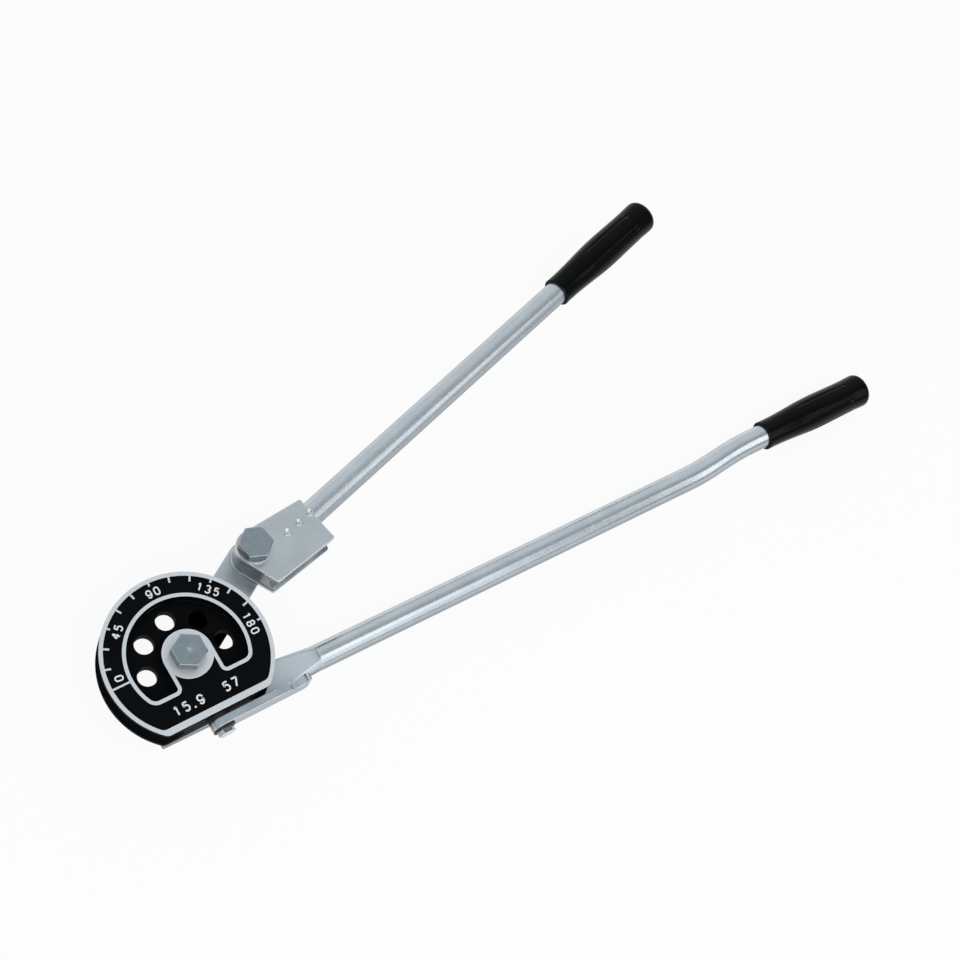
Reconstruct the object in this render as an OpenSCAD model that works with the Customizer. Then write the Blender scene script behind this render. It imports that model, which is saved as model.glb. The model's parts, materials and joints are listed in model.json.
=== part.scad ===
// Lever tube bender for half-turn bends, laid flat on a table.
// Origin: the forming wheel's axis where it meets the table. X runs along the
// main handle and the wheel's flat, Z points up along the wheel's axis.

/* [Tube and forming wheel] */
// Outside diameter of the tube to be bent
tube_d = 15.9; // [12:0.1:17]
// Bend radius at the tube's centreline, which is also the wheel's rim radius
bend_r = 57; // [54:0.5:64]
// Thickness of the wheel
wheel_t = 22; // [21:0.5:26]
// Distance from the wheel's axis to its flat
flat_d = 43; // [41:0.5:46]
// Corner radius where the rim meets the flat
flat_corner_r = 5; // [2:0.5:7]
// Width of the bare raised rim
rim_w = 2.8; // [1.5:0.1:4]
// Width of the bare raised rim along the flat
flat_rim_w = 4.4; // [2:0.1:6]
// Width of the raised line round the pocket
line_w = 2.5; // [1:0.1:3]
// Height of the raised rim, lines and marks
mark_h = 0.5; // [0.3:0.1:1]
// Radial wall between the tube groove and the pocket
pocket_wall = 9.3; // [7:0.1:12]
// Distance from the wheel's axis to the pocket's straight edge
pocket_edge_d = 19.5; // [18:0.5:21]
// Corner radius of the pocket
pocket_corner_r = 5.5; // [3:0.5:6]
// Corner radius of the pocket beside the hub
neck_corner_r = 2.2; // [1:0.2:4]
// Depth of the pocket in the face
pocket_depth = 8; // [5:0.5:9]
// Depth of the recess in the back
recess_depth = 7; // [4:0.5:8]
// Radius of the bare hub disc
hub_r = 17; // [15:0.5:18]
// Diameter of the through holes in the pocket
hole_d = 13.4; // [8:0.2:15]
// Number of through holes in the pocket
hole_count = 5; // [3:1:5]
// Angle between two scale marks
mark_step = 15; // [15:15:45]
// Width of a scale mark
mark_w = 1.3; // [0.8:0.1:2]
// Length of the scale marks between the numbers
mark_len = 4; // [2:0.5:5]
// Length of the scale marks at the numbers
number_mark_len = 2.2; // [1:0.2:3]

/* [Pivot bolts] */
// Diameter of the two pivot bolts
bolt_d = 14; // [10:0.5:15]
// Width across flats of their heads and nuts
bolt_af = 21; // [18:0.5:23]
// Height of their heads
bolt_head_h = 8; // [6:0.5:10]
// Height of their nuts
bolt_nut_h = 9; // [7:0.5:10]
// Diameter of the centre mark in the hub bolt's head
centre_mark_d = 3; // [2:0.2:4]
// Outside diameter of their washers
bolt_washer_d = 24.6; // [23:0.2:25]
// Thickness of their washers
bolt_washer_t = 1.6; // [1:0.1:2.5]

/* [Link] */
// Distance between the link's two pivots
link_len = 88.5; // [86:0.5:94]
// Width of the link
link_w = 28.4; // [25.6:0.2:29]
// Thickness of the link
link_t = 6; // [4:0.5:7]
// Angle of the link from the main handle as laid out
link_rest = 31.3; // [10:0.1:150]

/* [Forming shoe] */
// Angle by which the shoe is swung open from the wheel as laid out
shoe_open = 71; // [0:1:120]
// Length of the shoe past its pivot
shoe_len = 48.5; // [44:0.5:48.5]
// How far the groove runs back past the pivot
shoe_back = 3.4; // [1:0.2:6]
// Radius of the shoe's round end
shoe_end_r = 12.5; // [12.4:0.1:13]
// Height of the shoe's far corner above its pivot line
shoe_far_h = 7; // [6:0.5:10]
// Corner radius of the shoe's outline
shoe_corner_r = 1.6; // [0.8:0.2:2.4]
// Inset of the shoe's core behind the edges of its plates
core_inset = 0.8; // [0.4:0.1:1.2]
// Thickness of the shoe's two plates
plate_t = 2; // [1.5:0.1:3]
// Gap between the wheel's rim and the closed shoe
shoe_gap = 2.5; // [1.5:0.1:4]
// Diameter of the punched dimples that hold the handle in the shoe
dimple_d = 3.6; // [2:0.2:5]
// Spacing of the dimples
dimple_pitch = 10.9; // [8:0.1:11]
// Distance from the pivot to the first dimple
dimple_start = 25; // [23:0.5:26]

/* [Handles] */
// Outside diameter of both handle tubes
handle_d = 18; // [16:0.5:20]
// Wall of both handle tubes
handle_wall = 2; // [1.5:0.1:3]
// Distance from the wheel's flat to the main handle's axis
handle_inset = 10.2; // [9.5:0.1:12]
// Angle between the main handle and the wheel's flat
handle_skew = 0.96; // [0:0.02:2]
// Width of the flattened tongue under the wheel
tongue_w = 20.4; // [18:0.2:21]
// Thickness of the flattened tongue
tongue_t = 10.5; // [8:0.5:11]
// Rounding of the tongue's edges
tongue_round = 2.5; // [1.5:0.5:3.5]
// Depth of the tongue's face below the tube's crown
tongue_drop = 1; // [0.5:0.1:1.5]
// How far the tongue reaches past the wheel's axis
tongue_back = 36; // [32:1:38]
// Where the tube starts to flatten
flatten_start = 86; // [80:1:95]
// Length over which the tube flattens
flatten_len = 26; // [20:1:30]
// Where the side step of the main handle starts
step_start = 409; // [380:1:430]
// Angle of the side step's two bends
step_angle = 6.4; // [4:0.2:10]
// Radius of the side step's two bends
step_r = 200; // [150:10:300]
// Straight length between the side step's two bends
step_mid = 20; // [6:1:30]
// Gap between the side step and the main grip
step_to_grip = 14; // [2:1:20]
// Distance from the shoe's pivot to the axis of the shoe handle
shoe_handle_offset = 7.4; // [5:0.2:8]
// Angle of the shoe handle to the shoe's groove
shoe_handle_yaw = 3.7; // [0:0.1:5]
// Upward set of the shoe handle outside the shoe
shoe_handle_rise = 1.5; // [1.2:0.1:3]
// Depth from the shoe's end to which the shoe handle is pushed in
shoe_handle_in = 30; // [26:0.5:31]
// Distance from the shoe's pivot to the shoe grip
shoe_grip_start = 316; // [300:1:340]

/* [Grips] */
// Length of the main grip
main_grip_len = 102; // [95:1:115]
// Length of the shoe grip
shoe_grip_len = 107; // [95:1:115]
// Largest diameter of a grip
grip_d = 26.4; // [25:0.2:28]
// Diameter of the collar where a grip starts
collar_d = 22.4; // [22:0.2:23.6]
// Diameter of the waist before a grip's end
waist_d = 25.6; // [24:0.2:26.2]
// Rounding of a grip's closed end
grip_round = 5; // [3:0.5:7]
// Thickness of a grip's closed end
grip_end_t = 5; // [3:0.5:7]
// Number of finger flutes round a grip
flute_count = 6; // [4:1:8]
// Radius of the round tool that shapes a flute
flute_r = 2.6; // [2:0.1:3.5]
// Depth of a flute at the grip's belly
flute_depth = 0.9; // [0.4:0.1:1.2]

/* [Latch] */
// Thickness of the latch strap
latch_t = 5.6; // [4:0.1:7]
// Height of the latch strap
latch_w = 16; // [14:0.5:17]
// Height of the hook's tip above the strap
hook_rise = 2.5; // [1:0.5:4]
// Length of the hook's tip past its notch
hook_tip = 5.5; // [3:0.5:7]
// Rounding of the hook's outer end
hook_round = 3.6; // [2:0.2:3.8]
// Distance from the wheel's flat to the latch strap
latch_gap = 3.2; // [2.8:0.2:6]
// Outside diameter of the latch's spacer and washer
latch_washer_d = 15.6; // [12:0.2:15.8]
// Thickness of the latch's washer
latch_washer_t = 1.2; // [0.8:0.1:2.5]

/* [Small screws] */
// Diameter of the latch screw and the tongue screws
screw_d = 6.5; // [5:0.5:7]
// Width across flats of their heads
screw_af = 10.6; // [9:0.2:11.6]
// Height of their heads
screw_head_h = 3.8; // [3:0.2:5]
// Depth of their blind holes in the wheel
screw_depth = 13; // [8:0.5:14]
// Spacing of the two tongue screws
screw_pitch = 46; // [40:1:52]
// Thickness of the tongue screws' washers
screw_washer_t = 1.6; // [1:0.1:2]
// Width of the slot across the latch screw's head
slot_w = 1.4; // [0.8:0.1:2]

/* [Clearances] */
// Radial clearance of a bolt, screw or tube in its hole
fit_gap = 0.05; // [0.02:0.01:0.1]
// Radial clearance of the tube in its grooves
tube_gap = 0.1; // [0.05:0.05:0.3]
// Swelling of a handle tube where it is bent
bend_swell = 0.03; // [0.02:0.01:0.04]
// Least height of the wheel and the shoe above the link
head_gap = 0.9; // [0.6:0.1:2]

/* [Hidden] */
$fn = 96;

// Heights above the table
handle_z = grip_d / 2;
link_top = handle_z + handle_d / 2;
shoe_core_t = handle_d + 2 * fit_gap;
shoe_t = shoe_core_t + 2 * plate_t;
groove_z = link_top + head_gap + max(wheel_t, shoe_t) / 2;
wheel_z0 = groove_z - wheel_t / 2;
wheel_z1 = groove_z + wheel_t / 2;
shoe_z0 = groove_z - shoe_t / 2;
shoe_z1 = groove_z + shoe_t / 2;
link_z0 = link_top - link_t;
nut_z1 = link_z0 - bolt_washer_t;
tongue_z1 = link_top - tongue_drop;
tongue_z0 = tongue_z1 - tongue_t;
face_z = wheel_z1 - mark_h;

// Radius of a hexagon's chamfered top as a share of its width across flats
hex_top_share = 0.53;
// Turn of the two pivot bolts' heads from the X axis
hub_bolt_turn = 30;
shoe_bolt_turn = 40;
// Turn and depth of the latch screw's slot, the depth as a share of the head's height
slot_turn = 25;
slot_share = 0.3;
// How far a cutting tool stands out of the face that it cuts
over = 0.01;

// Forming wheel
groove_r = tube_d / 2 + tube_gap;
pocket_r = bend_r - groove_r - pocket_wall;
hole_ring_r = (pocket_r + hub_r) / 2;
hub_bore_r = bolt_d / 2 + fit_gap;
screw_bore_r = screw_d / 2 + fit_gap;
rim_in_r = bend_r - rim_w;
inner_corner_r = flat_corner_r + 1;
reach = 3 * bend_r;

// Forming shoe, seen with its pivot at the origin and its groove along X
shoe_edge = link_len - bend_r - shoe_gap;
shoe_back_corner = [-shoe_back, -shoe_edge];
shoe_far_corner = [shoe_len, shoe_far_h];
shoe_turn = link_rest - 90 + shoe_open;

// Main handle, in its own frame along X
step_end = step_start + 2 * step_r * sin(step_angle) + step_mid * cos(step_angle);
main_grip_start = step_end + step_to_grip;
step_side = 2 * step_r * (1 - cos(step_angle)) + step_mid * sin(step_angle);
flatten_end = flatten_start - flatten_len;
flatten_lap = 1;
bend_lap = 1;

// Shoe handle, in its own frame along X
rise_start = shoe_len + 2;
rise_r = 10 * handle_d;
shoe_tube_end = shoe_grip_start - rise_start + shoe_grip_len - grip_end_t;

// Stations along a grip and the run of its flutes, as shares of its length
collar_share = 0.06;
belly_share = 0.52;
waist_share = 0.82;
flute_from = 0.2;
flute_share = 0.62;

// Latch, in its own frame with the strap along X and its height along Z
notch_half = groove_r * 0.75;
hook_angle = asin((latch_w / 2 + sqrt(pow(groove_r, 2) - pow(notch_half, 2))) / bend_r);
hook_c = bend_r * [cos(hook_angle), sin(hook_angle)];
hook_end = hook_c.x + notch_half + hook_tip;
latch_y = -flat_d - latch_gap;
latch_front_y = latch_y - latch_t;

// Places a piece on the main handle's axis line, which starts beside the wheel
module on_main_handle() {
    translate([0, -flat_d + handle_inset, handle_z]) rotate([0, 0, -handle_skew]) children();
}

// Places a piece on the link's axis line
module on_link() {
    rotate([0, 0, link_rest]) children();
}

// Places a piece in the shoe's frame, with its pivot at the origin
module on_shoe() {
    on_link() translate([link_len, 0, groove_z]) rotate([0, 0, shoe_turn - link_rest]) children();
}

// Places a piece on the shoe handle's axis inside the shoe, along X
module on_shoe_handle() {
    on_shoe() rotate([0, 0, shoe_handle_yaw]) translate([0, -shoe_handle_offset, 0]) children();
}

// Places a piece on the shoe handle's axis past its upward bend, along X
module on_raised_handle() {
    on_shoe_handle() translate([rise_start, 0, 0])
        translate(rise_r * [sin(shoe_handle_rise), 0, 1 - cos(shoe_handle_rise)])
            rotate([0, -shoe_handle_rise, 0]) children();
}

// Places a piece on the latch's pivot axis, which points away from the flat
module on_latch_axis(y) {
    translate([0, y, groove_z]) rotate([90, 0, 0]) children();
}

// What lies outside a fillet of radius r round the point c, between the directions a0 and a1
module corner_waste(c, a0, a1, r) {
    am = (a0 + a1) / 2;
    translate(c) difference() {
        polygon([
            [0, 0],
            reach * [cos(a0), sin(a0)],
            reach * [cos(am), sin(am)],
            reach * [cos(a1), sin(a1)]
        ]);
        circle(r);
    }
}

// A disc of radius r cut by a chord at distance d below its centre, with rounded corners
module cut_disc(r, d, corner) {
    c = [sqrt(pow(r - corner, 2) - pow(d - corner, 2)), -d + corner];
    difference() {
        circle(r);
        translate([-reach, -d - reach]) square([2 * reach, reach]);
        for (side = [0, 1]) mirror([side, 0]) corner_waste(c, -90, atan2(c.y, c.x), corner);
    }
}

// The kidney-shaped pocket round the hub, grown by g on every side
module pocket_shape(g) {
    r = pocket_corner_r + g;
    neck = hub_r - g;
    neck_c = [hub_r + neck_corner_r, -pocket_edge_d + neck_corner_r];
    difference() {
        cut_disc(pocket_r + g, pocket_edge_d + g, r);
        circle(neck);
        translate([-neck, -reach]) square([2 * neck, reach]);
        for (side = [0, 1]) mirror([side, 0]) intersection() {
            corner_waste(neck_c, 180, 270, neck_corner_r + g);
            translate([0, -reach]) square([neck_c.x, reach]);
        }
    }
}

// The wheel's scale marks, with zero at the left and the half turn at the right
module scale_marks() {
    for (a = [0 : mark_step : 180]) {
        zero_len = rim_in_r - pocket_r - line_w / 2;
        len = a == 0 ? zero_len : (a % 45 == 0 ? number_mark_len : mark_len);
        rotate([0, 0, 180 - a]) translate([rim_in_r - len, -mark_w / 2]) square([len + rim_w / 2, mark_w]);
    }
}

// The bare metal that stands above the wheel's painted face
module raised_marks() {
    difference() {
        cut_disc(bend_r, flat_d, flat_corner_r);
        cut_disc(rim_in_r, flat_d - flat_rim_w, inner_corner_r);
    }
    difference() {
        pocket_shape(line_w);
        pocket_shape(0);
    }
    circle(hub_r);
    scale_marks();
}

// Hexagon of width af with a chamfered top
module hex_head(af, h) {
    corner = af / sqrt(3);
    top_r = af * hex_top_share;
    drop = (corner - top_r) * tan(30);
    intersection() {
        cylinder(r = corner, h = h, $fn = 6);
        rotate_extrude() polygon([
            [0, 0],
            [corner + 1, 0],
            [corner + 1, h - drop - tan(30)],
            [top_r, h],
            [0, h]
        ]);
    }
}

// Flat ring standing on the XY plane
module ring(od, id, h) {
    difference() {
        cylinder(d = od, h = h);
        translate([0, 0, -1]) cylinder(d = id, h = h + 2);
    }
}

// Pivot bolt with its head's seat at height seat_z, reaching down to the table
module pivot_bolt(seat_z, turn) {
    translate([0, 0, seat_z]) rotate([0, 0, turn]) hex_head(bolt_af, bolt_head_h);
    cylinder(d = bolt_d, h = seat_z + bolt_head_h / 2);
}

// Nut with chamfered free face, hanging below the plane z1
module pivot_nut(z1) {
    difference() {
        translate([0, 0, z1]) mirror([0, 0, 1]) hex_head(bolt_af, bolt_nut_h);
        cylinder(r = hub_bore_r, h = z1 + 1);
    }
}

// Straight round run of radius r along X, from x0 to x1
module straight_run(x0, x1, r) {
    translate([x0, 0, 0]) rotate([0, 90, 0]) cylinder(r = r, h = x1 - x0);
}

// Bent round run from the origin along X, turning towards +Y; it swells a little and laps the straight runs
module bent_run(bend, angle, r) {
    lap = asin(bend_lap / bend);
    translate([0, bend, 0]) rotate([0, 0, -90 - lap])
        rotate_extrude(angle = angle + 2 * lap) translate([bend, 0]) circle(r + bend_swell);
}

// Smooth step between two radii, n points from station a to station b
function blend(a, b, n) = [
    for (i = [0 : n - 1])
        let (t = i / n)
            [a.x + (b.x - a.x) * (1 - cos(180 * t)) / 2, a.y + (b.y - a.y) * t]
];

// Half outline of a grip of length grip_len: radius against length, from the collar to the closed end
function grip_outline(grip_len) =
    let (
        collar = [collar_d / 2, grip_len * collar_share],
        belly = [grip_d / 2, grip_len * belly_share],
        waist = [waist_d / 2, grip_len * waist_share],
        flare = [grip_d / 2 - 0.1, grip_len - grip_round]
    )
    concat(
        [[0, 0], [collar_d / 2, 0]],
        blend(collar, belly, 8),
        blend(belly, waist, 6),
        blend(waist, flare, 5),
        [for (a = [0 : 15 : 90]) flare + grip_round * [cos(a) - 1, sin(a)]],
        [[0, grip_len]]
    );

// Grip of length grip_len along X with its collar at the origin
module grip(grip_len) {
    rotate([0, 90, 0]) difference() {
        rotate_extrude() polygon(grip_outline(grip_len));
        translate([0, 0, -1]) cylinder(r = handle_d / 2 + fit_gap, h = grip_len - grip_end_t + 1);
        for (i = [0 : flute_count - 1]) {
            rotate([0, 0, (i + 0.5) * 360 / flute_count])
                translate([grip_d / 2 + flute_r - flute_depth, 0, grip_len * flute_from])
                    cylinder(r = flute_r, h = grip_len * flute_share);
        }
    }
}

// Unit vector in the direction a
function unit(a) = [cos(a), sin(a)];

// Outward direction of the line from q that touches the shoe's round end
function tangent_angle(q, side) = atan2(q.y, q.x) + side * acos(shoe_end_r / norm(q));

// Centre of a fillet of radius r between two lines, each given by its outward direction and its distance
function fillet_centre(a0, d0, a1, d1, r) =
    [(d0 - r) * sin(a1) - (d1 - r) * sin(a0), (d1 - r) * cos(a0) - (d0 - r) * cos(a1)] / sin(a1 - a0);

// Outline of the shoe with a round end about the pivot, inset by g except along its groove
module shoe_shape(g) {
    end_r = shoe_end_r - g;
    angles = [tangent_angle(shoe_back_corner, -1), -90, 0, tangent_angle(shoe_far_corner, 1)];
    distances = [end_r, shoe_edge, shoe_len - g, end_r];
    corners = [
        for (i = [0 : 2])
            fillet_centre(angles[i], distances[i], angles[i + 1], distances[i + 1], shoe_corner_r)
    ];
    circle(end_r);
    for (c = corners) translate(c) circle(shoe_corner_r);
    polygon(concat(
        [[0, 0], end_r * unit(angles[0])],
        [for (i = [0 : 2], a = [angles[i], angles[i + 1]]) corners[i] + shoe_corner_r * unit(a)],
        [end_r * unit(angles[3])]
    ));
}

// One plate of the shoe with its pivot hole, standing on the XY plane
module shoe_plate() {
    difference() {
        linear_extrude(plate_t) shoe_shape(0);
        translate([0, 0, -1]) cylinder(r = hub_bore_r, h = plate_t + 2);
    }
}

// Punched dimples along the shoe handle, cut into a face at z = 0
module dimples() {
    rotate([0, 0, shoe_handle_yaw]) translate([0, -shoe_handle_offset, 0])
        for (i = [0 : 2]) {
            translate([dimple_start + i * dimple_pitch, 0, -plate_t / 2])
                cylinder(d1 = dimple_d / 3, d2 = dimple_d, h = plate_t / 2 + over);
        }
}

// Section of the tongue, a flat band with rounded edges
module tongue_section() {
    x = tongue_w / 2 - tongue_round;
    translate([-x, 0]) square([2 * x, tongue_t]);
    translate([-tongue_w / 2, tongue_round]) square([tongue_w, tongue_t - 2 * tongue_round]);
    for (side = [-1, 1], y = [tongue_round, tongue_t - tongue_round])
        translate([side * x, y]) circle(tongue_round);
}

// The two tongue screws' places, on the underside of the tongue
module at_tongue_screws() {
    for (side = [-1, 1]) on_main_handle()
        translate([side * screw_pitch / 2, 0, tongue_z0 - handle_z]) children();
}

module forming_wheel() {
    color([0.08, 0.08, 0.09]) difference() {
        union() {
            translate([0, 0, wheel_z0]) linear_extrude(wheel_t - mark_h)
                cut_disc(bend_r, flat_d, flat_corner_r);
            translate([0, 0, face_z]) linear_extrude(mark_h) raised_marks();
            translate([0, 0, link_top]) cylinder(r = hub_r - 2, h = wheel_z0 - link_top + 1);
            at_tongue_screws() translate([0, 0, tongue_t])
                cylinder(d = latch_washer_d, h = wheel_z0 - tongue_z1 + 1);
        }
        translate([0, 0, groove_z]) rotate_extrude() translate([bend_r, 0]) circle(groove_r);
        translate([0, 0, wheel_z1 - pocket_depth]) linear_extrude(pocket_depth + 1) pocket_shape(0);
        translate([0, 0, wheel_z0 - 1]) linear_extrude(recess_depth + 1) pocket_shape(0);
        for (i = [0 : hole_count - 1]) {
            rotate([0, 0, i * 180 / (hole_count - 1)])
                translate([hole_ring_r, 0, wheel_z0]) cylinder(d = hole_d, h = wheel_t);
        }
        cylinder(r = hub_bore_r, h = wheel_z1 + 1);
        on_latch_axis(-flat_d + screw_depth) cylinder(r = screw_bore_r, h = screw_depth + 1);
        at_tongue_screws() cylinder(r = screw_bore_r, h = wheel_z0 - tongue_z0 + screw_depth - groove_r / 2);
    }
}

module hub_bolt() {
    color([0.62, 0.64, 0.66]) difference() {
        pivot_bolt(wheel_z1, hub_bolt_turn);
        translate([0, 0, wheel_z1 + bolt_head_h - centre_mark_d / 5])
            cylinder(d1 = centre_mark_d / 5, d2 = centre_mark_d, h = centre_mark_d / 5 + over);
    }
}

module hub_washer() {
    color([0.72, 0.74, 0.76]) translate([0, 0, nut_z1]) ring(bolt_washer_d, 2 * hub_bore_r, bolt_washer_t);
}

module hub_nut() {
    color([0.62, 0.64, 0.66]) pivot_nut(nut_z1);
}

module main_handle() {
    tube_end = main_grip_start + main_grip_len - grip_end_t;
    color([0.72, 0.74, 0.76]) on_main_handle() difference() {
        union() {
            difference() {
                main_runs(tube_end, handle_d / 2);
                main_runs(tube_end + 1, handle_d / 2 - handle_wall);
            }
            flattened_part();
            translate([-tongue_back, 0, tongue_z0 - handle_z]) rotate([90, 0, 90])
                linear_extrude(tongue_back + flatten_end) tongue_section();
        }
        for (side = [-1, 1]) translate([side * screw_pitch / 2, 0, tongue_z0 - handle_z - 1])
            cylinder(r = screw_bore_r, h = tongue_t + 2);
    }
}

// The main handle's round runs of radius r, from the flattened part to x1
module main_runs(x1, r) {
    straight_run(flatten_start - flatten_lap, step_start, r);
    translate([step_start, 0, 0]) bent_run(step_r, step_angle, r);
    translate([step_start, 0, 0]) translate(step_r * [sin(step_angle), 1 - cos(step_angle), 0])
        rotate([0, 0, step_angle]) straight_run(0, step_mid, r);
    translate([step_end, step_side, 0]) rotate([0, 0, 180]) bent_run(step_r, step_angle, r);
    translate([0, step_side, 0]) straight_run(step_end, x1, r);
}

// Where the main handle's tube is pressed down to the tongue
module flattened_part() {
    hull() {
        intersection() {
            translate([flatten_start - flatten_lap, 0, 0]) rotate([0, 90, 0])
                cylinder(d = handle_d - handle_wall / 4, h = flatten_lap, $fn = 40);
            translate([0, -handle_d, -handle_d])
                cube([flatten_start, 2 * handle_d, handle_d + tongue_z1 - handle_z]);
        }
        translate([flatten_end - flatten_lap, 0, tongue_z0 - handle_z]) rotate([90, 0, 90])
            linear_extrude(flatten_lap) tongue_section($fn = 24);
    }
}

module main_grip() {
    color([0.05, 0.05, 0.05]) on_main_handle()
        translate([main_grip_start, step_side, 0]) grip(main_grip_len);
}

module tongue_screws() {
    color([0.62, 0.64, 0.66]) at_tongue_screws() translate([0, 0, -screw_washer_t]) {
        mirror([0, 0, 1]) hex_head(screw_af, screw_head_h);
        cylinder(d = screw_d, h = screw_washer_t + wheel_z0 - tongue_z0 + screw_depth - groove_r / 2 - 1);
    }
}

module tongue_washers() {
    color([0.72, 0.74, 0.76]) at_tongue_screws() translate([0, 0, -screw_washer_t])
        ring(latch_washer_d, 2 * screw_bore_r, screw_washer_t);
}

module latch_spacer() {
    color([0.05, 0.05, 0.05]) on_latch_axis(-flat_d) ring(latch_washer_d, 2 * screw_bore_r, latch_gap);
}

module latch_hook() {
    tip_w = latch_w + hook_rise;
    color([0.72, 0.74, 0.76]) on_latch_axis(latch_y) difference() {
        linear_extrude(latch_t) difference() {
            union() {
                circle(d = latch_w);
                translate([0, -latch_w / 2]) square([hook_end - latch_w / 2, latch_w]);
                translate([hook_end - latch_w / 2, -latch_w / 2]) hook_nose(tip_w);
            }
            translate(hook_c) circle(groove_r);
            circle(screw_bore_r);
        }
        translate([0, latch_w, 0]) rotate([90, 0, 0]) linear_extrude(2 * latch_w)
            corner_waste([hook_end - hook_round, latch_t - hook_round], 0, 90, hook_round);
    }
}

// Rounded nose of the hook, which rises above the strap
module hook_nose(tip_w) {
    intersection() {
        square([latch_w / 2, tip_w]);
        union() {
            translate([0, tip_w - latch_w / 2]) circle(d = latch_w);
            translate([0, latch_w / 2]) circle(d = latch_w);
        }
    }
}

module latch_washer() {
    color([0.05, 0.05, 0.05]) on_latch_axis(latch_front_y)
        ring(latch_washer_d, 2 * screw_bore_r, latch_washer_t);
}

module latch_screw() {
    stem = latch_gap + latch_t + latch_washer_t;
    color([0.62, 0.64, 0.66]) on_latch_axis(latch_front_y - latch_washer_t) difference() {
        union() {
            hex_head(screw_af, screw_head_h);
            translate([0, 0, -stem - screw_depth + 1]) cylinder(d = screw_d, h = stem + screw_depth);
        }
        rotate([0, 0, slot_turn]) translate([-screw_af, -slot_w / 2, screw_head_h * (1 - slot_share)])
            cube([2 * screw_af, slot_w, screw_head_h]);
    }
}

module link_plate() {
    color([0.72, 0.74, 0.76]) on_link() translate([0, 0, link_z0]) linear_extrude(link_t) difference() {
        union() {
            for (x = [0, link_len]) translate([x, 0]) circle(d = link_w);
            translate([0, -link_w / 2]) square([link_len, link_w]);
        }
        for (x = [0, link_len]) translate([x, 0]) circle(hub_bore_r);
    }
}

module shoe_bolt() {
    color([0.62, 0.64, 0.66]) on_link() translate([link_len, 0, 0])
        pivot_bolt(shoe_z1 + bolt_washer_t, shoe_bolt_turn - link_rest);
}

module shoe_head_washer() {
    color([0.72, 0.74, 0.76]) on_link() translate([link_len, 0, shoe_z1])
        ring(bolt_washer_d, 2 * hub_bore_r, bolt_washer_t);
}

module shoe_spacer() {
    color([0.72, 0.74, 0.76]) on_link() translate([link_len, 0, link_top])
        ring(bolt_washer_d, 2 * hub_bore_r, shoe_z0 - link_top);
}

module shoe_back_washer() {
    color([0.72, 0.74, 0.76]) on_link() translate([link_len, 0, nut_z1])
        ring(bolt_washer_d, 2 * hub_bore_r, bolt_washer_t);
}

module shoe_nut() {
    color([0.62, 0.64, 0.66]) on_link() translate([link_len, 0, 0]) pivot_nut(nut_z1);
}

module shoe_block() {
    color([0.68, 0.7, 0.72]) difference() {
        on_shoe() translate([0, 0, -shoe_core_t / 2]) linear_extrude(shoe_core_t) shoe_shape(core_inset);
        on_shoe() translate([0, 0, -shoe_t]) cylinder(r = hub_bore_r, h = 2 * shoe_t);
        on_shoe() translate([-reach, bend_r - link_len, 0]) rotate([0, 90, 0])
            cylinder(r = groove_r, h = 2 * reach);
        on_shoe_handle() translate([shoe_len - shoe_handle_in, 0, 0]) rotate([0, 90, 0])
            cylinder(r = handle_d / 2 + fit_gap, h = shoe_handle_in + shoe_end_r);
    }
}

module shoe_top_plate() {
    color([0.74, 0.76, 0.78]) on_shoe() translate([0, 0, shoe_core_t / 2]) difference() {
        shoe_plate();
        translate([0, 0, plate_t]) dimples();
    }
}

module shoe_bottom_plate() {
    color([0.74, 0.76, 0.78]) on_shoe() translate([0, 0, -shoe_t / 2]) difference() {
        shoe_plate();
        mirror([0, 0, 1]) dimples();
    }
}

module shoe_handle() {
    color([0.72, 0.74, 0.76]) difference() {
        shoe_runs(0, handle_d / 2);
        shoe_runs(1, handle_d / 2 - handle_wall);
    }
}

// The shoe handle's round runs of radius r, longer by more at both ends
module shoe_runs(more, r) {
    on_shoe_handle() straight_run(shoe_len - shoe_handle_in + 1 - more, rise_start, r);
    on_shoe_handle() translate([rise_start, 0, 0]) rotate([90, 0, 0]) bent_run(rise_r, shoe_handle_rise, r);
    on_raised_handle() straight_run(0, shoe_tube_end + more, r);
}

module shoe_grip() {
    color([0.05, 0.05, 0.05]) on_raised_handle()
        translate([shoe_grip_start - rise_start, 0, 0]) grip(shoe_grip_len);
}

forming_wheel();
hub_bolt();
hub_washer();
hub_nut();
main_handle();
main_grip();
tongue_screws();
tongue_washers();
latch_spacer();
latch_hook();
latch_washer();
latch_screw();
link_plate();
shoe_bolt();
shoe_head_washer();
shoe_spacer();
shoe_back_washer();
shoe_nut();
shoe_block();
shoe_top_plate();
shoe_bottom_plate();
shoe_handle();
shoe_grip();
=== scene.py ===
"""Looks of the tube bender: finishes, dial numbers, studio light and the photograph's camera."""

import json
import math

import bmesh
import bpy
from mathutils import Matrix, Vector


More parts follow.
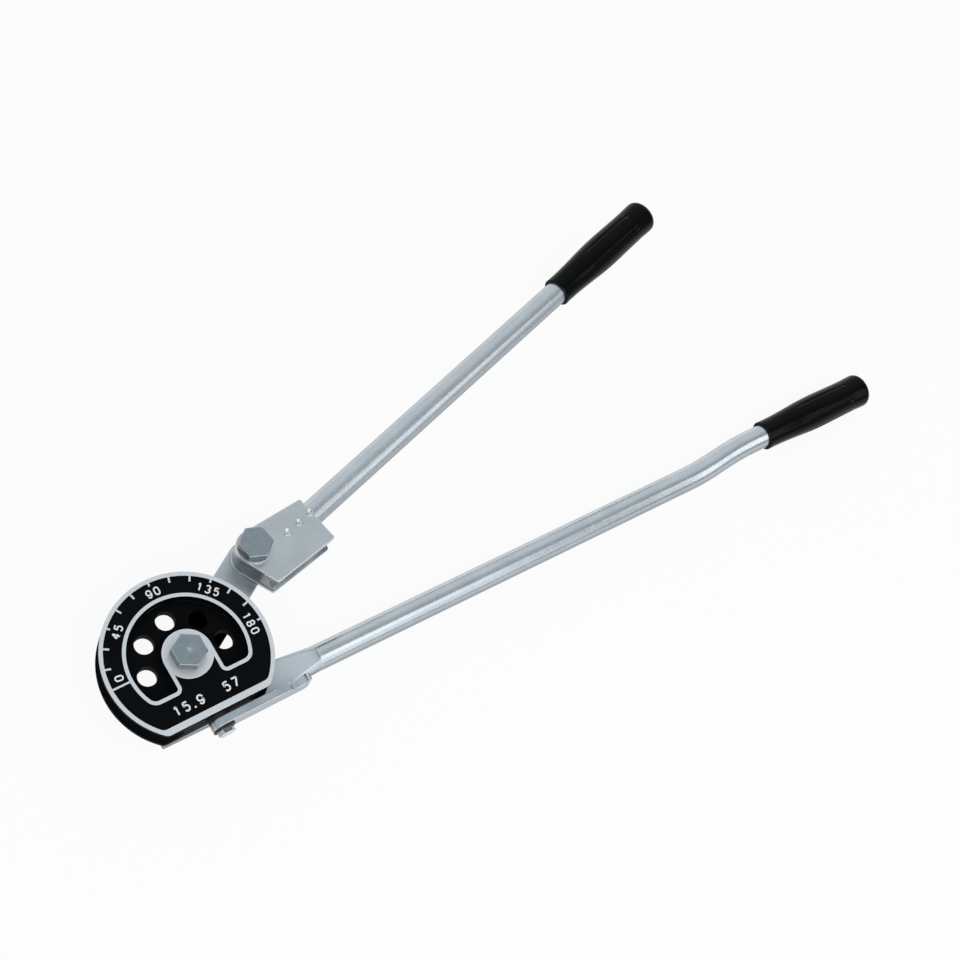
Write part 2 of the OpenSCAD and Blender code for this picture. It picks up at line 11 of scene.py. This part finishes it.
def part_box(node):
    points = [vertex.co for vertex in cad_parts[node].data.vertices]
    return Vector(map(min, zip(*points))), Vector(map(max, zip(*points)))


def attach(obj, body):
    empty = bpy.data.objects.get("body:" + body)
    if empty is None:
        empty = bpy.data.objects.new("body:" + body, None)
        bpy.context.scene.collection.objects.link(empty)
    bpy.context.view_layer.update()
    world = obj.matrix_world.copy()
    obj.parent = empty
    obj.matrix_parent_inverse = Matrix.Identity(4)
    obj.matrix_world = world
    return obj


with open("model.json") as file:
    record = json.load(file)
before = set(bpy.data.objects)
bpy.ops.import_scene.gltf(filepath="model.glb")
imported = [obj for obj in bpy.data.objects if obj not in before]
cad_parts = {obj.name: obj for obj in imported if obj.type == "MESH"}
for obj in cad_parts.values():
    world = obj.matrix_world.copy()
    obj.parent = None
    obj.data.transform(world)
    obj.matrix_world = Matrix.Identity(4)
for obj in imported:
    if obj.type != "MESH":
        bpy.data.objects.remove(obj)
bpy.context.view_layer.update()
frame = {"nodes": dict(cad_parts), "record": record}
nodes = frame["nodes"]

MM = 0.001

# Camera of the photograph, with its lens and sensor width in mm
CAMERA_PLACE = Vector((-0.34535, -0.28633, 1.2217))
CAMERA_RIGHT = Vector((0.8114, -0.5169, 0.2728))
CAMERA_UP = Vector((0.3879, 0.8254, 0.4101))
CAMERA_LENS = 71.96
SENSOR_WIDTH = 36.0
CLIP_START = 0.01

# Heights of the wheel's bare marks and of its painted face, and where the paint ends on a mark's side
WHEEL_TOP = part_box("forming_wheel")[1].z
MARK_HEIGHT = 0.5 * MM
PAINTED_FACE = WHEEL_TOP - MARK_HEIGHT
PAINT_END = (WHEEL_TOP - 0.2 * MARK_HEIGHT, WHEEL_TOP - 0.1 * MARK_HEIGHT)

# Angle in degrees of each dial number round the wheel, from the handle's direction
DIAL_NUMBERS = {"0": 173.6, "45": 135.0, "90": 90.0, "135": 45.0, "180": 0.0}
DIAL_RADIUS = 47.2 * MM
DIAL_DIGIT = 6.2 * MM
# Centre of each plain size number beside the flat
SIZE_NUMBERS = {"15.9": (-16.0 * MM, -30.6 * MM), "57": (15.0 * MM, -30.6 * MM)}
SIZE_DIGIT = 7.2 * MM
DIGIT_PROUD = 0.35 * MM
# Sizes of a digit as shares of its height: stroke, spacing, half the centre line's width and height, and bowl
STROKE = 0.17
ADVANCE = 0.92
POINT_ADVANCE = 0.55
HALF_W = 0.25
HALF_H = 0.5 - STROKE / 2
BOWL = 0.27
ARC_STEPS = 24
STROKE_ROUNDNESS = 3
CLOSED_GAP = 1e-6

# Punched dimples of the shoe's upper plate: pivot, direction of their row, first place, spacing and offset
SHOE_PIVOT = Vector((75.62 * MM, 45.977 * MM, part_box("shoe_top_plate")[1].z))
DIMPLE_COUNT = 3
DIMPLE_TURN = math.radians(16.0)
DIMPLE_START = 25.0 * MM
DIMPLE_PITCH = 10.9 * MM
DIMPLE_OFFSET = -7.4 * MM
# Section of the burr round a dimple: radius and height over the plate, in mm
BURR_SECTION = (
    (1.75, -0.15), (1.85, 0.0), (2.25, 0.36), (2.55, 0.4), (2.85, 0.24), (3.15, 0.0), (3.05, -0.15)
)
BURR_STEPS = 48

# Darkest and lightest tone of each finish
PLATE_TONES = ((0.60, 0.66, 0.69), (0.68, 0.74, 0.77))
TUBE_TONES = ((0.55, 0.60, 0.64), (0.63, 0.68, 0.72))
# The shoe's core between its plates: painted shade, with a wide spread that paints dark reflections
CORE_SHADE_TONES = ((0.10, 0.12, 0.14), (0.34, 0.37, 0.40))
# The latch screw: a dark top, and sides painted from it much brighter as a highlight
SCREW_LIT_AND_SHADED_TONES = ((0.12, 0.13, 0.14), (0.24, 0.25, 0.26))
# The latch: a wide spread of tone that paints mottled reflections
LATCH_REFLECTION_TONES = ((0.40, 0.46, 0.50), (0.62, 0.69, 0.74))
BURR_TONES = ((0.55, 0.60, 0.64), (0.66, 0.71, 0.75))
PAINT_TONES = ((0.0015, 0.002, 0.0025), (0.003, 0.0036, 0.0042))
BARE_TONES = ((0.80, 0.85, 0.89), (0.90, 0.94, 0.97))
# Bolt heads: a lit tone for the top, and a darker tone painted on the sides as shade
BOLT_LIT_TOP_TONES = ((0.35, 0.41, 0.45), (0.41, 0.48, 0.52))
BOLT_SHADED_SIDE_TONES = ((0.06, 0.066, 0.072), (0.11, 0.118, 0.125))
GRIP_TONES = ((0.0008, 0.0012, 0.0014), (0.0018, 0.0022, 0.0026))
WASHER_TONES = ((0.006, 0.006, 0.007), (0.014, 0.014, 0.015))
NUMBER_TONES = ((0.86, 0.88, 0.89), (0.95, 0.97, 0.98))
# Colours of edges: rubbed plating made lighter as a painted highlight, a painted white highlight on the
# shoe's cut upper plate, a painted highlight on bolt heads, and paint that is rubbed thin
RUBBED_AND_HIGHLIT_EDGE = (0.93, 0.95, 0.96)
CUT_EDGE_HIGHLIGHT = (1.0, 1.0, 1.0)
BOLT_EDGE_HIGHLIGHT = (0.72, 0.78, 0.82)
WORN_PAINT = (0.22, 0.23, 0.24)
# Painted shade on the link's upper faces under the wheel: its colour, and where it ends from the hub's axis
PAINTED_SHADE_UNDER_WHEEL = (0.004, 0.004, 0.004)
SHADE_UNDER_WHEEL_END = (50.0 * MM, 58.0 * MM)
# The main handle's pressed tongue: where the tube takes over, its colour, painted paler as a highlight, and
# its duller roughness
TUBE_START = (78.0 * MM, 90.0 * MM)
TONGUE_HIGHLIGHT_COLOUR = (0.70, 0.78, 0.82)
TONGUE_ROUGH = 0.5

# Zinc: scale of its clouds, gain and share of its glints, the grain that counts as one, and roughness swing
CLOUD_SCALE = 60.0
GLINT_GAIN = 1.12
GLINT_SHARE = 0.4
GLINT_GRAIN = (0.45, 0.75)
SHEEN_SWING = (-0.04, 0.05)
GRAIN_STRENGTH = 0.5
# Cosine of the turn at an edge that counts as the edge, and as no edge
EDGE_TURN = (0.86, 0.98)
BEVEL_SAMPLES = 6
# Slope, as the height of the surface's direction, at which a side ends and a level face begins; sides take a
# tone painted darker as shade, or brighter as a highlight
SIDE_SLOPES = (0.2, 0.7)
BOLT_SLOPES = (0.1, 0.4)
UPPER_SLOPES = (0.3, 0.6)

# Floor: its grey and roughness, how much of it shows as plain white, its half width and its drop
FLOOR_GREY = (0.9, 0.9, 0.9, 1.0)
FLOOR_ROUGH = 0.9
FLOOR_WHITE = (1.0, 1.0, 1.0, 1.0)
FLOOR_GLOW = 0.92
FLOOR_HALF = 4.0
FLOOR_DROP = 0.2 * MM

# Surroundings: colour, strength on the main handle's side and on the other, and the Y at which each begins
WORLD_COLOUR = (0.93, 0.97, 1.0, 1.0)
WORLD_LEVELS = (0.42, 0.8)
WORLD_RISE = (-0.08, 0.36)
# Dim patch among the surroundings: direction, strength, and the cosines of its outer and inner border
DIM_PATCH = (0.28, 0.25, 0.927)
DIM_LEVEL = 0.58
DIM_BORDER = (0.961, 0.994)
# Distance of the soft boxes from the main handle, and of each its lean in degrees, width, start and end
# along x, and brightness
BOX_DISTANCE = 1.6
SOFT_BOXES = {
    "strip_box": (32.0, 0.9, -1.5, 0.96, 1.18),
    "end_box": (43.0, 1.35, 1.36, 1.75, 1.6),
    "low_box": (64.0, 0.8, -1.5, 1.05, 0.75),
}


def put_in_scene(piece):
    """Links a new object to the scene."""
    bpy.context.scene.collection.objects.link(piece)


def principled(name):
    """New material with its node tree and shader."""
    material = bpy.data.materials.new(name)
    material.use_nodes = True
    tree = material.node_tree
    return material, tree, tree.nodes["Principled BSDF"]


def row_place(tree):
    """Place on the piece in the row frame."""
    return tree.nodes.new("ShaderNodeTexCoord").outputs["Object"]


def feed(tree, socket, value):
    """Sets a socket to a number, vector or colour, or links it where the value is another socket."""
    if isinstance(value, bpy.types.NodeSocket):
        tree.links.new(value, socket)
    else:
        socket.default_value = value


def computed(tree, operation, *values):
    """Result of a math node; each value is a number or a socket."""
    node = tree.nodes.new("ShaderNodeMath")
    node.operation = operation
    for socket, value in zip(node.inputs, values):
        feed(tree, socket, value)
    return node.outputs[0]


def vector_measure(tree, operation, *vectors):
    """Number that a vector math node gives; each vector is a tuple or a socket."""
    node = tree.nodes.new("ShaderNodeVectorMath")
    node.operation = operation
    for socket, vector in zip(node.inputs, vectors):
        feed(tree, socket, vector)
    return node.outputs["Value"]


def along(tree, vector, axis):
    """One component of a vector."""
    split = tree.nodes.new("ShaderNodeSeparateXYZ")
    tree.links.new(vector, split.inputs["Vector"])
    return split.outputs[axis]


def noise(tree, place, scale, detail=4.0, rough=0.55):
    """Noise texture's value, with its features about 1 / scale metres across."""
    texture = tree.nodes.new("ShaderNodeTexNoise")
    texture.inputs["Scale"].default_value = scale
    texture.inputs["Detail"].default_value = detail
    texture.inputs["Roughness"].default_value = rough
    tree.links.new(place, texture.inputs["Vector"])
    return texture.outputs["Fac"]


def stretched(tree, place, scale):
    """Coordinates scaled by a different amount along each axis."""
    mapping = tree.nodes.new("ShaderNodeMapping")
    mapping.inputs["Scale"].default_value = scale
    tree.links.new(place, mapping.inputs["Vector"])
    return mapping.outputs["Vector"]


def spread(tree, value, low, high, start=0.3, end=0.7):
    """Maps the range start to end of a value to low to high; low and high are numbers or sockets."""
    node = tree.nodes.new("ShaderNodeMapRange")
    node.inputs["From Min"].default_value = start
    node.inputs["From Max"].default_value = end
    feed(tree, node.inputs["To Min"], low)
    feed(tree, node.inputs["To Max"], high)
    tree.links.new(value, node.inputs["Value"])
    return node.outputs["Result"]


def mixed_colour(tree, factor, first, second):
    """Colour that goes from first to second with factor; each is a colour or a socket."""
    node = tree.nodes.new("ShaderNodeMix")
    node.data_type = "RGBA"
    tree.links.new(factor, node.inputs["Factor"])
    for socket, colour in ((node.inputs[6], first), (node.inputs[7], second)):
        feed(tree, socket, (*colour, 1.0) if isinstance(colour, tuple) else colour)
    return node.outputs[2]


def clouded(tree, texture, tones):
    """Colour that goes from the darkest to the lightest tone with a texture."""
    return mixed_colour(tree, spread(tree, texture, 0.0, 1.0), *tones)


def rounded_normal(tree, radius):
    """Surface direction with the edges rounded by a radius."""
    bevel = tree.nodes.new("ShaderNodeBevel")
    bevel.samples = BEVEL_SAMPLES
    bevel.inputs["Radius"].default_value = radius
    return bevel.outputs["Normal"]


def bump(tree, shader, height, strength, distance, edge):
    """Bump from a height value, over edges that are rounded by the given radius in the shading."""
    node = tree.nodes.new("ShaderNodeBump")
    node.inputs["Strength"].default_value = strength
    node.inputs["Distance"].default_value = distance
    tree.links.new(height, node.inputs["Height"])
    if edge:
        tree.links.new(rounded_normal(tree, edge), node.inputs["Normal"])
    tree.links.new(node.outputs["Normal"], shader.inputs["Normal"])


def edge_mask(tree, radius):
    """1 along sharp edges and 0 away from them, from how far rounding the edge would turn the surface."""
    own = tree.nodes.new("ShaderNodeNewGeometry").outputs["Normal"]
    turned = vector_measure(tree, "DOT_PRODUCT", rounded_normal(tree, radius), own)
    return spread(tree, turned, 1.0, 0.0, *EDGE_TURN)


def upward(tree):
    """Height of the surface's direction in the row frame: 1 facing up, 0 on sides, -1 facing down."""
    return along(tree, tree.nodes.new("ShaderNodeTexCoord").outputs["Normal"], "Z")


def facing_up_or_down(tree, slopes):
    """0 on sides and 1 on level faces."""
    return spread(tree, computed(tree, "ABSOLUTE", upward(tree)), 0.0, 1.0, *slopes)


def shade_under_wheel_mask(tree, place):
    """1 on upper faces near the hub's axis, where shade under the wheel is painted, and 0 elsewhere."""
    distance = vector_measure(tree, "LENGTH", stretched(tree, place, (1.0, 1.0, 0.0)))
    near = spread(tree, distance, 1.0, 0.0, *SHADE_UNDER_WHEEL_END)
    return spread(tree, upward(tree), 0.0, near, *UPPER_SLOPES)


def scaled(tones, share):
    """Tones multiplied by a share, each channel up to 1."""
    return [tuple(min(1.0, share * channel) for channel in colour) for colour in tones]


def zinc(name, tones, rough, grain, grain_depth, edge, painted_side_share=1.0, edge_mark=RUBBED_AND_HIGHLIT_EDGE, pressed_and_highlit=False,
         paint_shade_under_wheel=False):
    """Satin zinc plating with a fine grain.

    The share for sides is for pieces whose sides are painted darker as shade, or brighter as a highlight, and
    whose edges take the edge colour, made lighter partly as a painted highlight; the pressed switch is for
    the main handle, whose pressed tongue is duller and painted paler as a highlight; the last switch paints
    shade on the link's upper faces under the wheel.
    """
    material, tree, shader = principled(name)
    place = row_place(tree)
    shader.inputs["Metallic"].default_value = 1.0
    speck = noise(tree, place, grain, 2.0, 0.6)
    tone = clouded(tree, noise(tree, place, CLOUD_SCALE), tones)
    glint = scaled(tones, GLINT_GAIN)[1]
    face = mixed_colour(tree, spread(tree, speck, 0.0, GLINT_SHARE, *GLINT_GRAIN), tone, glint)
    sheen = spread(tree, speck, *(rough + swing for swing in SHEEN_SWING))
    # The tongue's paler colour is a painted highlight; its duller roughness is the pressed finish
    if pressed_and_highlit:
        tube = spread(tree, along(tree, place, "X"), 0.0, 1.0, *TUBE_START)
        face = mixed_colour(tree, tube, TONGUE_HIGHLIGHT_COLOUR, face)
        sheen = spread(tree, tube, TONGUE_ROUGH, sheen, 0.0, 1.0)
    # Sides painted darker as shade, or brighter as a highlight, and edges painted lighter, partly as a
    # highlight
    if painted_side_share != 1.0:
        side = clouded(tree, speck, scaled(tones, painted_side_share))
        face = mixed_colour(tree, facing_up_or_down(tree, SIDE_SLOPES), side, face)
        face = mixed_colour(tree, edge_mask(tree, edge), face, edge_mark)
    # Paints shade on the link's upper faces under the wheel
    if paint_shade_under_wheel:
        face = mixed_colour(tree, shade_under_wheel_mask(tree, place), face, PAINTED_SHADE_UNDER_WHEEL)
    tree.links.new(face, shader.inputs["Base Color"])
    tree.links.new(sheen, shader.inputs["Roughness"])
    bump(tree, shader, speck, GRAIN_STRENGTH, grain_depth, edge)
    return material


def black_paint_with_bare_marks():
    """Satin black paint in the wheel's recesses, with its raised rim, lines and hub ground bare."""
    material, tree, shader = principled("black_paint")
    place = row_place(tree)
    bare = spread(tree, along(tree, place, "Z"), 0.0, 1.0, *PAINT_END)
    cloud = noise(tree, place, 45.0)
    grind = noise(tree, stretched(tree, place, (1.0, 6.0, 1.0)), 420.0, 3.0)
    patches = spread(tree, noise(tree, place, 110.0), 0.0, 0.5, 0.5, 0.7)
    edge_mark = computed(tree, "MULTIPLY", edge_mask(tree, 0.4 * MM), patches)
    paint = mixed_colour(tree, edge_mark, clouded(tree, cloud, PAINT_TONES), WORN_PAINT)
    metal = clouded(tree, grind, BARE_TONES)
    tree.links.new(mixed_colour(tree, bare, paint, metal), shader.inputs["Base Color"])
    tree.links.new(bare, shader.inputs["Metallic"])
    paint_rough = spread(tree, cloud, 0.6, 0.7)
    metal_rough = spread(tree, grind, 0.4, 0.5)
    tree.links.new(spread(tree, bare, paint_rough, metal_rough, 0.0, 1.0), shader.inputs["Roughness"])
    shader.inputs["Specular IOR Level"].default_value = 0.05
    bump(tree, shader, noise(tree, place, 900.0, 2.0), 0.2, 0.04 * MM, 0.35 * MM)
    return material


def bolt_steel():
    """Bright zinc on forged bolts: a smooth top in a lit tone, sides painted darker as shade, and a painted
    highlight along the edges.
    """
    material, tree, shader = principled("bolt_steel")
    place = row_place(tree)
    shader.inputs["Metallic"].default_value = 1.0
    cloud = noise(tree, place, 160.0)
    fine = noise(tree, place, 1100.0, 2.0)
    top = clouded(tree, cloud, BOLT_LIT_TOP_TONES)
    side = clouded(tree, cloud, BOLT_SHADED_SIDE_TONES)
    # Sides painted darker as shade, and edges lighter as a painted highlight
    face = mixed_colour(tree, facing_up_or_down(tree, BOLT_SLOPES), side, top)
    face = mixed_colour(tree, edge_mask(tree, 0.8 * MM), face, BOLT_EDGE_HIGHLIGHT)
    tree.links.new(face, shader.inputs["Base Color"])
    tree.links.new(spread(tree, fine, 0.08, 0.14), shader.inputs["Roughness"])
    bump(tree, shader, fine, 0.15, 0.01 * MM, 1.2 * MM)
    return material


def coat(name, tones, skin, rough, dents, edge, cloud=None, specular=None):
    """Plain finish with a fine skin, coloured by the skin or by a coarser cloud.

    skin is a scale and a detail, rough a lowest and a highest value, dents a strength and a depth.
    """
    material, tree, shader = principled(name)
    place = row_place(tree)
    fine = noise(tree, place, *skin)
    texture = noise(tree, place, cloud) if cloud else fine
    tree.links.new(clouded(tree, texture, tones), shader.inputs["Base Color"])
    tree.links.new(spread(tree, fine, *rough), shader.inputs["Roughness"])
    if specular:
        shader.inputs["Specular IOR Level"].default_value = specular
    bump(tree, shader, fine, *dents, edge)
    return material


def slot_finishes():
    """Finish of each material slot in the record."""
    # Zinc plates and tubes have sides painted darker as shade and edges painted lighter, partly as a
    # highlight
    return {
        "black_paint": black_paint_with_bare_marks(),
        "zinc_plate": zinc(
            "zinc_plate", PLATE_TONES, rough=0.32, grain=1100.0, grain_depth=0.008 * MM, edge=0.9 * MM,
            painted_side_share=0.75,
        ),
        "zinc_tube": zinc(
            "zinc_tube", TUBE_TONES, rough=0.29, grain=620.0, grain_depth=0.018 * MM, edge=0.3 * MM,
            painted_side_share=0.47,
        ),
        "bolt_steel": bolt_steel(),
        "grip_black": coat(
            "grip_black", GRIP_TONES, skin=(700.0, 3.0), rough=(0.13, 0.2), dents=(0.2, 0.015 * MM),
            edge=0.4 * MM, cloud=50.0, specular=0.09,
        ),
        "washer_black": coat(
            "washer_black", WASHER_TONES, skin=(900.0, 3.0), rough=(0.5, 0.65), dents=(0.3, 0.05 * MM),
            edge=0.2 * MM,
        ),
    }


def node_finishes():
    """Finish of each node that differs from the rest of its slot."""
    return {
        # The main handle, whose tongue is painted paler as a highlight
        "main_handle": zinc(
            "zinc_tongue_highlit_tube", TUBE_TONES, rough=0.23, grain=620.0, grain_depth=0.022 * MM, edge=0.3 * MM,
            painted_side_share=0.45, pressed_and_highlit=True,
        ),
        # The shoe's core, painted dark as shade
        "shoe_block": zinc(
            "zinc_core_painted_shade", CORE_SHADE_TONES, rough=0.22, grain=700.0, grain_depth=0.015 * MM, edge=0.6 * MM
        ),
        # The latch screw, with its sides painted brighter as a highlight
        "latch_screw": zinc(
            "screw_painted_highlight", SCREW_LIT_AND_SHADED_TONES, rough=0.1, grain=1100.0, grain_depth=0.01 * MM, edge=0.5 * MM,
            painted_side_share=3.4,
        ),
        # The latch, with painted mottled reflections and sides painted darker as shade
        "latch_hook": zinc(
            "latch_steel_painted_reflection", LATCH_REFLECTION_TONES, rough=0.24, grain=900.0, grain_depth=0.008 * MM, edge=0.9 * MM,
            painted_side_share=0.55,
        ),
        # The shoe's upper plate, with a painted white highlight along its edges
        "shoe_top_plate": zinc(
            "plate_edge_highlight", PLATE_TONES, rough=0.3, grain=1100.0, grain_depth=0.008 * MM, edge=1.4 * MM,
            painted_side_share=0.75, edge_mark=CUT_EDGE_HIGHLIGHT,
        ),
        # The link, with shade painted on its upper faces under the wheel
        "link_plate": zinc(
            "plate_painted_shade", PLATE_TONES, rough=0.32, grain=1100.0, grain_depth=0.008 * MM, edge=0.9 * MM,
            painted_side_share=0.75, paint_shade_under_wheel=True,
        ),
    }


def dress_nodes():
    """Gives every CAD node its own finish, or that of its material slot."""
    by_slot = slot_finishes()
    by_node = node_finishes()
    for part in frame["record"]["subparts"]:
        node = nodes[part["node"]]
        node.data.materials.clear()
        node.data.materials.append(by_node.get(part["node"], by_slot[part["material_slot"]]))


def arc(centre_y, half_w, half_h, start, end):
    """Points of an elliptic arc about a point on the digit's middle line; the angles are in degrees."""
    angles = [math.radians(start + (end - start) * i / ARC_STEPS) for i in range(ARC_STEPS + 1)]
    return [(half_w * math.cos(a), centre_y + half_h * math.sin(a)) for a in angles]


def digit_strokes(digit):
    """Centre lines of a digit one unit high; a line closes where its ends meet."""
    w, h = HALF_W, HALF_H
    strokes = {
        "0": [arc(h - w, w, w, 0, 180) + arc(w - h, w, w, 180, 360) + [(w, h - w)]],
        "1": [[(0.03, h), (0.03, -h)], [(0.03, h), (-0.16, h - 0.17)]],
        "3": [arc(h / 2, 0.9 * w, h / 2, 150, -90), arc(-h / 2, w, h / 2, 90, -150)],
        "4": [[(0.1, -h), (0.1, h)], [(0.1, h), (-w, -0.14)], [(-w, -0.14), (w, -0.14)]],
        "5": [
            [(0.8 * w, h), (-0.7 * w, h)],
            [(-0.7 * w, h), (-0.8 * w, 0.02)],
            arc(BOWL - h, w, BOWL, 145, -145),
        ],
        "7": [[(-w, h), (w, h)], [(w, h), (-0.08, -h)]],
        "8": [arc(h / 2, 0.85 * w, h / 2, 90, 450), arc(-h / 2, w, h / 2, 90, 450)],
        "9": [arc(h - BOWL, w, BOWL, 0, 360), arc(0.0, w, h, 25, -140)],
        ".": [[(-STROKE / 2, -h), (STROKE / 2, -h)]],
    }
    return strokes[digit]


def advance(character):
    """Room that a character takes along the line."""
    return POINT_ADVANCE if character == "." else ADVANCE


def figure_curve(name, text):
    """Curve of a number one unit high, centred on the origin, with a round stroke."""
    curve = bpy.data.curves.new(name, "CURVE")
    curve.dimensions = "3D"
    curve.bevel_depth = STROKE / 2
    curve.bevel_resolution = STROKE_ROUNDNESS
    curve.use_fill_caps = True
    left = -sum(advance(character) for character in text) / 2
    for character in text:
        middle = left + advance(character) / 2
        left += advance(character)
        for points in digit_strokes(character):
            closed = math.dist(points[0], points[-1]) < CLOSED_GAP
            points = points[:-1] if closed else points
            spline = curve.splines.new("POLY")
            spline.points.add(len(points) - 1)
            spline.use_cyclic_u = closed
            for point, (x, y) in zip(spline.points, points):
                point.co = (middle + x, y, 0.0, 1.0)
    return curve


def figure_mesh(name, text, height):
    """Mesh of a number of the given height, with its round strokes ground flat on top."""
    holder = bpy.data.objects.new(name + "_curve", figure_curve(name, text))
    put_in_scene(holder)
    bpy.context.view_layer.update()
    mesh = bpy.data.meshes.new_from_object(holder.evaluated_get(bpy.context.evaluated_depsgraph_get()))
    bpy.data.objects.remove(holder)
    mesh.transform(Matrix.Scale(height, 4))
    for vertex in mesh.vertices:
        vertex.co.z = max(-DIGIT_PROUD, min(DIGIT_PROUD, vertex.co.z))
    return mesh


def add_figure(text, height, place, turn, material):
    """Puts a number on the wheel's painted face."""
    name = "wheel_number_" + text
    piece = bpy.data.objects.new(name, figure_mesh(name, text, height))
    put_in_scene(piece)
    piece.matrix_world = Matrix.Translation(place) @ Matrix.Rotation(turn, 4, "Z")
    piece.data.materials.append(material)
    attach(piece, "frame")


def add_figures():
    """The dial's angles, tops outward, and two plain size numbers beside the flat."""
    material = coat(
        "number_white", NUMBER_TONES, skin=(600.0, 2.0), rough=(0.4, 0.55), dents=(0.2, 0.03 * MM),
        edge=0.2 * MM,
    )
    for text, degrees in DIAL_NUMBERS.items():
        angle = math.radians(degrees)
        place = Vector((DIAL_RADIUS * math.cos(angle), DIAL_RADIUS * math.sin(angle), PAINTED_FACE))
        add_figure(text, DIAL_DIGIT, place, angle - math.pi / 2, material)
    for text, (x, y) in SIZE_NUMBERS.items():
        add_figure(text, SIZE_DIGIT, Vector((x, y, PAINTED_FACE)), 0.0, material)


def add_ring(build, middle):
    """Adds one closed ring of the burr's section about a dimple's middle."""
    profile = [Vector((radius * MM, 0.0, height * MM)) for radius, height in BURR_SECTION]
    rings = []
    for step in range(BURR_STEPS):
        turn = Matrix.Rotation(2 * math.pi * step / BURR_STEPS, 3, "Z")
        rings.append([build.verts.new(middle + turn @ point) for point in profile])
    for first, second in zip(rings, rings[1:] + rings[:1]):
        for i in range(len(profile)):
            build.faces.new((first[i - 1], second[i - 1], second[i], first[i]))


def add_burrs():
    """Raised burrs round the punched dimples of the shoe's upper plate, as closed rings in one piece."""
    build = bmesh.new()
    for row in range(DIMPLE_COUNT):
        add_ring(build, Vector((DIMPLE_START + row * DIMPLE_PITCH, DIMPLE_OFFSET, 0.0)))
    bmesh.ops.recalc_face_normals(build, faces=build.faces)
    mesh = bpy.data.meshes.new("shoe_dimple_burrs")
    build.to_mesh(mesh)
    build.free()
    mesh.shade_smooth()
    piece = bpy.data.objects.new("shoe_dimple_burrs", mesh)
    put_in_scene(piece)
    piece.matrix_world = Matrix.Translation(SHOE_PIVOT) @ Matrix.Rotation(DIMPLE_TURN, 4, "Z")
    mesh.materials.append(
        zinc("burr_steel", BURR_TONES, rough=0.16, grain=1100.0, grain_depth=0.008 * MM, edge=0.0)
    )
    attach(piece, "shoe")


def add_camera():
    """Camera at the photograph's place, found from the wheel's rim and the two handles."""
    right = CAMERA_RIGHT.normalized()
    back = right.cross(CAMERA_UP).normalized()
    up = back.cross(right)
    data = bpy.data.cameras.new("camera")
    data.lens = CAMERA_LENS
    data.sensor_width = SENSOR_WIDTH
    data.clip_start = CLIP_START
    camera = bpy.data.objects.new("camera", data)
    put_in_scene(camera)
    camera.matrix_world = Matrix.Translation(CAMERA_PLACE) @ Matrix((right, up, back)).transposed().to_4x4()
    bpy.context.scene.camera = camera


def seen_as_background(tree):
    """1 for rays from the camera, mirrors and glass, and 0 for the rays that light the object."""
    path = tree.nodes.new("ShaderNodeLightPath")
    total = path.outputs["Is Camera Ray"]
    for name in ("Is Glossy Ray", "Is Transmission Ray"):
        total = computed(tree, "MAXIMUM", total, path.outputs[name])
    return total


def floor_material():
    """Pale floor that shows nearly white, and keeps some of the object's shadow."""
    material, tree, shader = principled("floor")
    shader.inputs["Base Color"].default_value = FLOOR_GREY
    shader.inputs["Roughness"].default_value = FLOOR_ROUGH
    shader.inputs["Specular IOR Level"].default_value = 0.0
    glow = tree.nodes.new("ShaderNodeEmission")
    glow.inputs["Color"].default_value = FLOOR_WHITE
    glow.inputs["Strength"].default_value = 1.0
    mix = tree.nodes.new("ShaderNodeMixShader")
    tree.links.new(computed(tree, "MULTIPLY", seen_as_background(tree), FLOOR_GLOW), mix.inputs["Fac"])
    tree.links.new(shader.outputs["BSDF"], mix.inputs[1])
    tree.links.new(glow.outputs["Emission"], mix.inputs[2])
    tree.links.new(mix.outputs["Shader"], tree.nodes["Material Output"].inputs["Surface"])
    return material


def add_floor():
    """Floor just under the object."""
    half = FLOOR_HALF
    mesh = bpy.data.meshes.new("floor")
    corners = [(-half, -half, 0.0), (half, -half, 0.0), (half, half, 0.0), (-half, half, 0.0)]
    mesh.from_pydata(corners, [], [(0, 1, 2, 3)])
    mesh.materials.append(floor_material())
    floor = bpy.data.objects.new("floor", mesh)
    floor.location.z = -FLOOR_DROP
    put_in_scene(floor)


def add_box(name, lean, width, start, end, brightness):
    """Soft box on the main handle's side, from x = start to x = end, at a lean from the vertical."""
    angle = math.radians(lean)
    data = bpy.data.lights.new(name, "AREA")
    data.shape = "RECTANGLE"
    data.size = end - start
    data.size_y = width
    data.energy = math.pi * brightness * data.size * data.size_y
    light = bpy.data.objects.new(name, data)
    light.location = ((start + end) / 2, -BOX_DISTANCE * math.sin(angle), BOX_DISTANCE * math.cos(angle))
    light.rotation_euler = (angle, 0.0, 0.0)
    light.visible_camera = False
    put_in_scene(light)


def add_light():
    """Pale surroundings, dimmer on the main handle's side, and soft boxes that draw bands along the tubes."""
    world = bpy.data.worlds.new("studio")
    bpy.context.scene.world = world
    world.use_nodes = True
    tree = world.node_tree
    back = tree.nodes["Background"]
    back.inputs["Color"].default_value = WORLD_COLOUR
    direction = tree.nodes.new("ShaderNodeTexCoord").outputs["Generated"]
    side = spread(tree, along(tree, direction, "Y"), *WORLD_LEVELS, *WORLD_RISE)
    facing = vector_measure(tree, "DOT_PRODUCT", direction, DIM_PATCH)
    tree.links.new(spread(tree, facing, side, DIM_LEVEL, *DIM_BORDER), back.inputs["Strength"])
    for name, sizes in SOFT_BOXES.items():
        add_box(name, *sizes)


dress_nodes()
add_figures()
add_burrs()
add_camera()
add_floor()
add_light()
bpy.context.scene.view_settings.view_transform = "Standard"
